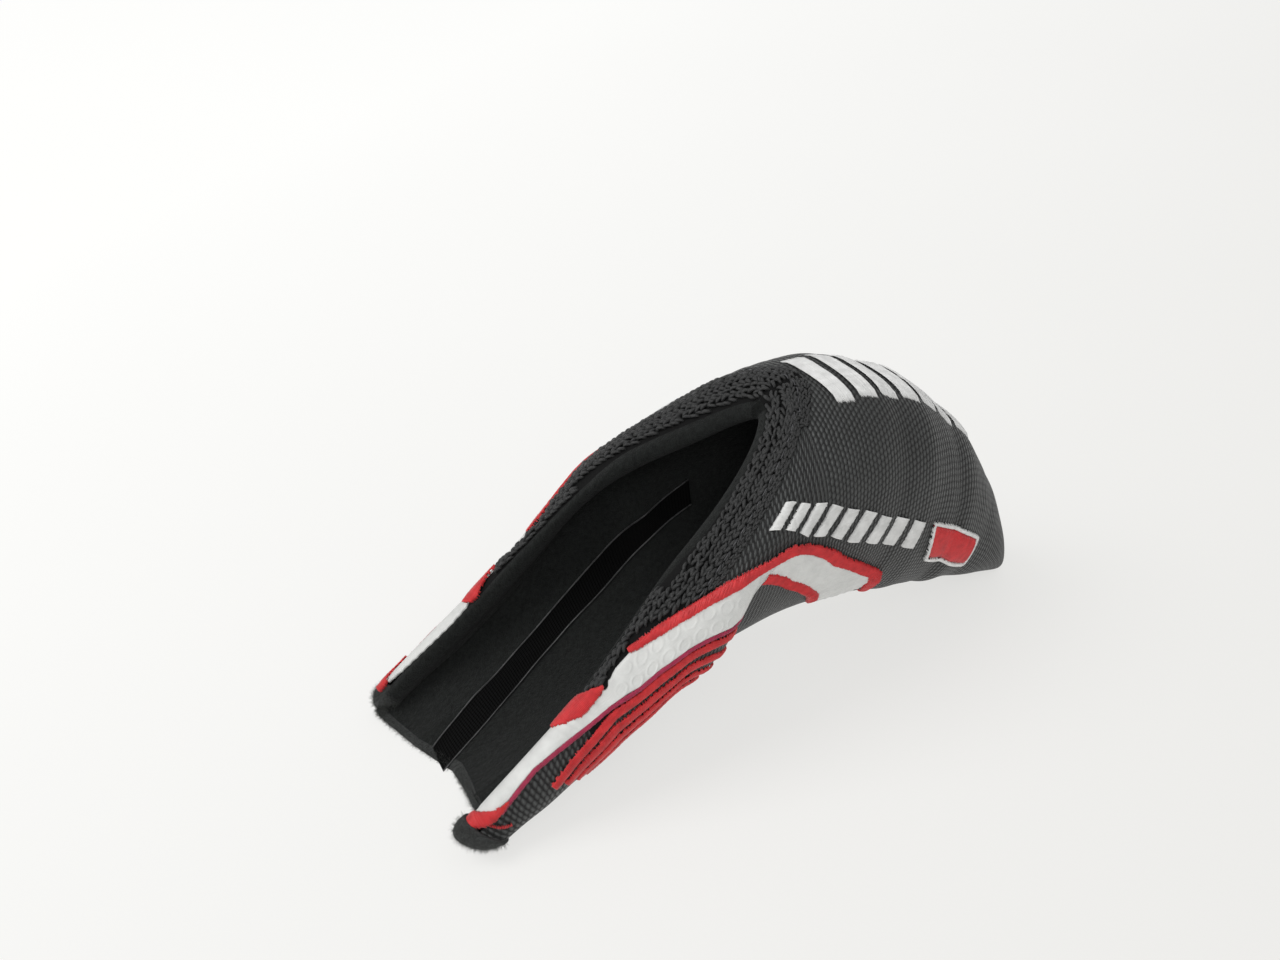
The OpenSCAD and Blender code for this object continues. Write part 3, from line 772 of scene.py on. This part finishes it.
PANEL_LINES = [  # the white patch's lower and upper edges, in pairs of (t, v) from the open end on
    ((0.022, 1.005), (0.013, 1.100)), ((0.042, 0.990), (0.031, 1.125)), ((0.059, 1.000), (0.050, 1.135)),
    ((0.081, 1.004), (0.072, 1.140)), ((0.111, 0.985), (0.100, 1.140)), ((0.135, 0.965), (0.125, 1.120)),
    ((0.151, 0.952), (0.150, 1.040)), ((0.178, 0.932), (0.180, 1.006)), ((0.200, 0.905), (0.202, 1.014)),
    ((0.216, 0.875), (0.222, 1.010)), ((0.243, 0.850), (0.250, 0.985)),
    ((0.282, 0.791), (0.285, 0.935)), ((0.322, 0.707), (0.330, 0.845)),
    ((0.349, 0.642), (0.365, 0.785)), ((0.370, 0.593), (0.388, 0.730)), ((0.377, 0.655), (0.402, 0.706)),
    ((0.396, 0.668), (0.420, 0.680)), ((0.420, 0.600), (0.442, 0.640)), ((0.450, 0.497), (0.485, 0.540)),
    ((0.490, 0.405), (0.550, 0.425)), ((0.532, 0.314), (0.610, 0.350)), ((0.546, 0.255), (0.645, 0.300)),
    ((0.560, 0.200), (0.640, 0.230))]
ROLLED = {"right": 1.0, "left": 0.55}  # how much of the roll over the slit's edge each side's patch has
PATCH_LIFT = 0.75  # millimetres from the cloth to the top of the patch
DOT_PITCH, DOT_DEEP = 5.2, 0.16  # the pressed rings on the satin
# The waves of the satin's edge: how deep in v on each side, and how long in t
SCALLOP, SCALLOP_T = {"right": 0.016, "left": 0.004}, 0.0105


def rolled(points, name):
    """(t, v) points with their roll over the slit's edge as wide as that side has it."""
    t, v = np.asarray(points, float).T
    return np.stack([t, np.where(v > 1, 1 + (v - 1) * ROLLED[name], v)], -1)


def panel(side, name):
    """The white patch: a long band along the slit's edge with a hooked box at its end, faintly dotted."""
    fine = np.linspace(0, 1, 620)
    low, high = (at_shares(rolled(line, name), fine) for line in zip(*PANEL_LINES))
    waves = SCALLOP[name] * np.abs(np.sin(high[:, 0] * math.pi / SCALLOP_T))
    high[:, 1] -= waves * smooth(0.20, 0.17, high[:, 0])
    j = np.linspace(0, 1, 40)[None, :, None]
    tv = mix(low[:, None], high[:, None], j)
    t, v = tv[..., 0], tv[..., 1]
    base = place(t, v, 0, side)
    along = lengths_along(base[:, 20])[:, None]
    wide = np.linalg.norm(base[:, -1] - base[:, 0], axis=-1)[:, None] * j[..., 0]
    u, w = along / DOT_PITCH, wide / (DOT_PITCH * 0.87)
    u = u + 0.5 * (np.floor(w) % 2)
    r = np.hypot(u - np.round(u), (w - np.floor(w) - 0.5))
    dots = DOT_DEEP * np.exp(-((r - 0.36) / 0.07) ** 2) * smooth(40, 60, along) * smooth(5, 7, wide[:, -1:])
    edge = np.minimum(smooth(0, 0.05, j[..., 0]), smooth(1, 0.95, j[..., 0]))
    lift = PATCH_LIFT * (0.5 + 0.5 * edge) + dots * edge
    cells = np.stack([np.broadcast_to(along, t.shape), wide], -1).reshape(-1, 2)
    points, quads = slab(place(t, v, lift, side), place(t, v, -0.2, side))
    return points, quads, np.concatenate([cells, cells])


OUTLINES = [  # red satin-stitch bands, between two lines of (t, v) points
    ([(0.222, 1.008), (0.243, 0.978), (0.281, 0.922), (0.321, 0.849), (0.359, 0.772), (0.394, 0.712),
      (0.430, 0.648)],
     [(0.224, 1.018), (0.257, 0.998), (0.285, 0.959), (0.315, 0.909), (0.346, 0.855), (0.399, 0.738),
      (0.445, 0.662)]),
    ([(0.430, 0.650), (0.457, 0.600), (0.528, 0.448), (0.640, 0.300)],
     [(0.440, 0.668), (0.492, 0.560), (0.554, 0.450), (0.652, 0.330)]),
    ([(0.652, 0.333), (0.664, 0.280), (0.660, 0.215)], [(0.630, 0.312), (0.641, 0.275), (0.640, 0.215)]),
    ([(0.393, 0.660), (0.444, 0.491), (0.510, 0.330), (0.524, 0.270)],
     [(0.402, 0.678), (0.452, 0.507), (0.532, 0.322), (0.547, 0.262)])]
# The thin outline below the patch, the red tip and the red lobe on the slit's edge, and the end's stitches
LOWER_LINE = [(0.030, 0.975), (0.045, 0.985), (0.081, 0.998), (0.111, 0.978), (0.151, 0.946), (0.178, 0.926),
              (0.216, 0.869), (0.243, 0.844), (0.282, 0.785), (0.322, 0.701), (0.349, 0.636), (0.370, 0.590)]
TIP = ([(0.000, 1.030), (0.010, 0.985), (0.018, 0.968), (0.030, 0.968), (0.043, 0.985)],
       [(0.000, 1.120), (0.009, 1.110), (0.017, 1.050), (0.026, 1.010), (0.044, 0.996)])
LOBE = ([(0.121, 1.060), (0.134, 1.022), (0.147, 0.998), (0.160, 0.996), (0.170, 0.999), (0.181, 1.004)],
        [(0.122, 1.075), (0.130, 1.115), (0.142, 1.120), (0.153, 1.085), (0.165, 1.045), (0.182, 1.012)])
LOBE_MIDDLE, LOBE_LONG = 0.150, {"right": 1.0, "left": 0.8}  # the left lobe is a little shorter
END_LINE = [(0.014, 0.968), (0.016, 0.930), (0.020, 0.896), (0.027, 0.862)]
# The row of white bars on the foot's sides, which runs between these two lines
MARK_LOW = [(0.408, 0.831), (0.468, 0.631), (0.548, 0.505), (0.639, 0.443), (0.705, 0.424)]
MARK_HIGH = [(0.432, 0.849), (0.469, 0.733), (0.538, 0.611), (0.618, 0.540), (0.700, 0.512)]
MARKS, MARK_FILL, MARK_SLANT = 9, 0.66, 0.03
STRIPES, STRIPE_WIDE, STRIPE_BELOW, STRIPE_GAP = 4, 2.5, 0.042, 0.078
STRIPE_FROM, STRIPE_TO = 0.086, 0.362
# The block after the bars, and the white line round it
BLOCK = ([(0.735, 0.375), (0.845, 0.335)], [(0.722, 0.505), (0.842, 0.490)])
BLOCK_EDGE = [(0.735, 0.372), (0.847, 0.332), (0.844, 0.493), (0.720, 0.508), (0.735, 0.372)]
SPINE_MARKS, SPINE_FROM, SPINE_STEP, SPINE_WIDE, SPINE_SLANT = 7, 0.560, 0.038, 0.026, 0.012


def side_marks(side, seed):
    """Slanted white bars in a row down the foot's side."""
    fine = np.linspace(0, 1, 200)
    low, high = (at_shares(line_points(line, 0.002), fine) for line in (MARK_LOW, MARK_HIGH))
    parts = []
    for i in range(MARKS):
        start, end = ([at_shares(low, k), at_shares(high, k + MARK_SLANT)]
                      for k in (i / MARKS, (i + MARK_FILL) / MARKS))
        parts.append(stitch_rows(start, end, side, PITCH, seed + i, jag=0.12))
    return joined(parts)


def red_outlines(side, name, seed):
    """The bands round the patch, the tip and the lobe, and a thin line of stitches at the open end."""
    parts = [stitch_rows(*band, side, CLOSE_PITCH, seed + i, lift=0.85, jag=0.3)
             for i, band in enumerate(OUTLINES)]
    lobe = [[(LOBE_MIDDLE + (t - LOBE_MIDDLE) * LOBE_LONG[name], v) for t, v in line] for line in LOBE]
    parts += [stitch_rows(*[rolled(line, name) for line in band], side, CLOSE_PITCH, seed + 10 + i, lift=1.0)
              for i, band in enumerate((TIP, lobe))]
    end = ribbon(END_LINE, 0.7, side)
    parts.append(stitch_rows(*end, side, 0.42, seed + 14, lift=0.3, radius=0.16, jag=0.05))
    return joined(parts)


def red_stripes(side, seed):
    """Stripes that follow the white patch below it, and bend down at both ends."""
    under = np.array([(0.08, 0.90), (0.15, 0.915)] + LOWER_LINE[5:])
    parts = []
    for i in range(STRIPES):
        t = np.linspace(STRIPE_FROM + 0.014 * i, STRIPE_TO - 0.016 * i, 30)
        ends = smooth(0, 0.03, t - t[0]) * smooth(0, 0.03, t[-1] - t)
        v = np.interp(t, *under.T) - STRIPE_BELOW - STRIPE_GAP * i - 0.02 * (1 - ends)
        edges = ribbon(np.stack([t, v], -1), STRIPE_WIDE, side)
        parts.append(stitch_rows(*edges, side, PITCH, seed + i))
    return joined(parts)


def spine_marks():
    """Slanted white bars over the foot's ridge."""
    parts = []
    for i in range(SPINE_MARKS):
        t = SPINE_FROM + SPINE_STEP * i
        low = [(t, 0.885), (t + SPINE_WIDE, 0.875)]
        high = [(t - SPINE_SLANT, 1.085), (t + SPINE_WIDE - SPINE_SLANT, 1.075)]
        parts.append(stitch_rows(low, high, RIGHT, 0.4, 301 + i, jag=0.3))
    return joined(parts)


for name, side in SIDES.items():
    seed = 101 + int(side) * 40
    points, quads, cells = panel(side, name)
    patch = solid_mesh(f"panel_{name}", points, quads, SATIN, cells)
    hang(patch, [f"{name}_flap_panel", f"foot_panel_{name}"])
    border = solid_mesh(f"border_{name}", *red_outlines(side, name, seed), RED)
    hang(border, [f"{name}_flap_border", f"foot_border_{name}"])
    lower = stitch_rows(*ribbon(LOWER_LINE, 1.3, side), side, CLOSE_PITCH, seed + 12, lift=0.45, radius=0.2)
    hang(solid_mesh(f"border_low_{name}", *lower, MAGENTA))
    stripes = solid_mesh(f"stripes_{name}", *red_stripes(side, seed + 20), RED)
    hang(stripes, [f"{name}_flap_stripes", "foot_stripes"])
    marks = solid_mesh(f"side_marks_{name}", *side_marks(side, seed + 60), WHITE)
    hang(marks, ["side_marks_white"])
    block = solid_mesh(f"side_block_{name}", *stitch_rows(*BLOCK, side, PITCH, seed + 30), RED)
    hang(block, ["side_marks_red"], body="foot")
    edging = stitch_rows(*ribbon(BLOCK_EDGE, 1.1, side), side, CLOSE_PITCH, seed + 31, lift=0.5, radius=0.2)
    hang(solid_mesh(f"side_block_edge_{name}", *edging, WHITE), body="foot")

spine = solid_mesh("spine_marks_1", *spine_marks(), WHITE)
hang(spine, ["spine_marks"], body="foot")


# ---------------------------------------------------------------- hook tape
TAPE_LINE = [np.array(p) for p in ((-0.008, 0.085), (0.14, 0.25), (0.28, 0.40), (0.46, 0.43))]
TAPE_HALF, TAPE_D, TAPE_T, TAPE_SLANT = 0.072, SHELL_T + 0.5, 0.6, 0.012
HOOKS_LONG, HOOKS_WIDE, CORD_R = 110, 6, 0.22  # hooks along the tape and across half of it


def hook_tape():
    """The tape inside the left flap, cut slanted at the open end and narrower in the foot, and its edges."""
    k, j = np.linspace(0, 1, 260), np.linspace(-1, 1, 24)[None, :]
    centre = bezier(TAPE_LINE, k)
    slant = TAPE_SLANT * np.clip(1 - 5 * k, 0, 1)[:, None] ** 2
    half = TAPE_HALF * mix(1.0, 0.62, smooth(0.6, 1, k))[:, None]
    t, v = centre[:, :1] + slant * j, centre[:, 1:] + half * j
    points, quads = slab(skin(t, v, TAPE_D, LEFT), skin(t, v, TAPE_D - TAPE_T, LEFT))
    cells = np.stack([k[:, None] * HOOKS_LONG + 0 * j, HOOKS_WIDE * j + 0 * t], -1).reshape(-1, 2)
    tape = solid_mesh("hook_tape", points, quads, HOOKS, np.concatenate([cells, cells]))
    hang(tape, ["hook_strip", "hook_strip_heel"])
    edges = np.stack([skin(t[:, i], v[:, i], TAPE_D + 0.1, LEFT) for i in (0, -1)])
    cords = solid_mesh("hook_tape_edges", *tubes(edges, np.full(edges.shape[:2], CORD_R), 6), EDGE_CORD)
    hang(cords)


hook_tape()

# ---------------------------------------------------------------- stage, lights and camera
floor_mesh = bpy.data.meshes.new("floor")
floor_mesh.from_pydata([(-6, -6, 0), (6, -6, 0), (6, 6, 0), (-6, 6, 0)], [], [(0, 1, 2, 3)])
floor = bpy.data.objects.new("floor", floor_mesh)
bpy.context.scene.collection.objects.link(floor)
floor.location.z = -0.0002
paper = Shader("floor_paper", roughness=0.8, specular=0.1)
beside, beyond = paper.split(paper.where())
# The floor glows by itself: painted light, brighter towards the back and the left like a lamp's falloff,
# which also lifts the object's cast shadow on the floor
away = paper.less(paper.times(beyond, 0.9), paper.times(beside, 0.45))
painted_light_glow = paper.ramp(paper.add(away, 0.5), (0.25, (0.60, 0.595, 0.58)), (0.9, (0.77, 0.77, 0.76)))
paper.tree.links.new(painted_light_glow, paper.surface.inputs["Emission Color"])
paper.surface.inputs["Emission Strength"].default_value = 1.0
tone = paper.ramp(paper.noise(3, 2), (0.3, (0.225, 0.225, 0.22)), (0.7, (0.235, 0.235, 0.23)))
floor_mesh.materials.append(paper.finish(tone, paper.noise(900), 0.02))


def soft_light(name, place_at, aim, size, watts):
    data = bpy.data.lights.new(name, "AREA")
    data.size, data.energy = size, watts
    lamp = bpy.data.objects.new(name, data)
    bpy.context.scene.collection.objects.link(lamp)
    lamp.location = place_at
    lamp.rotation_euler = (Vector(aim) - Vector(place_at)).to_track_quat("-Z", "Y").to_euler()


soft_light("key", (-1.9, 0.5, 2.2), (0, 0, 0), 1.8, 42)
soft_light("front", (-1.2, -2.0, 2.0), (0, 0, 0.03), 1.6, 26)
world = bpy.data.worlds.new("studio")
world.use_nodes = True
sky = world.node_tree.nodes["Background"]
sky.inputs["Color"].default_value = (1, 1, 1, 1)
sky.inputs["Strength"].default_value = 0.5
bpy.context.scene.world = world
bpy.context.scene.view_settings.view_transform = "Standard"
bpy.context.scene.view_settings.look = "None"

# The camera looks down from the front right, turned a little about its own axis
CAMERA_AT = Vector((-0.20575, -0.32912, 0.32615))
AZIMUTH, ELEVATION, ROLL = (math.radians(a) for a in (-28.376, 33.772, -1.679))
camera_data = bpy.data.cameras.new("camera")
camera_data.lens, camera_data.sensor_width = 47.25, 36
camera_data.clip_start = 0.01
camera = bpy.data.objects.new("camera", camera_data)
bpy.context.scene.collection.objects.link(camera)
bpy.context.scene.camera = camera
flat = math.cos(ELEVATION)
back = Vector((math.sin(AZIMUTH) * flat, -math.cos(AZIMUTH) * flat, math.sin(ELEVATION)))
level = Vector((math.cos(AZIMUTH), math.sin(AZIMUTH), 0))
right_way = level * math.cos(ROLL) + back.cross(level) * math.sin(ROLL)
up_way = back.cross(right_way)
rows = [[right_way[i], up_way[i], back[i], CAMERA_AT[i]] for i in range(3)]
camera.matrix_world = Matrix(rows + [[0, 0, 0, 1]])
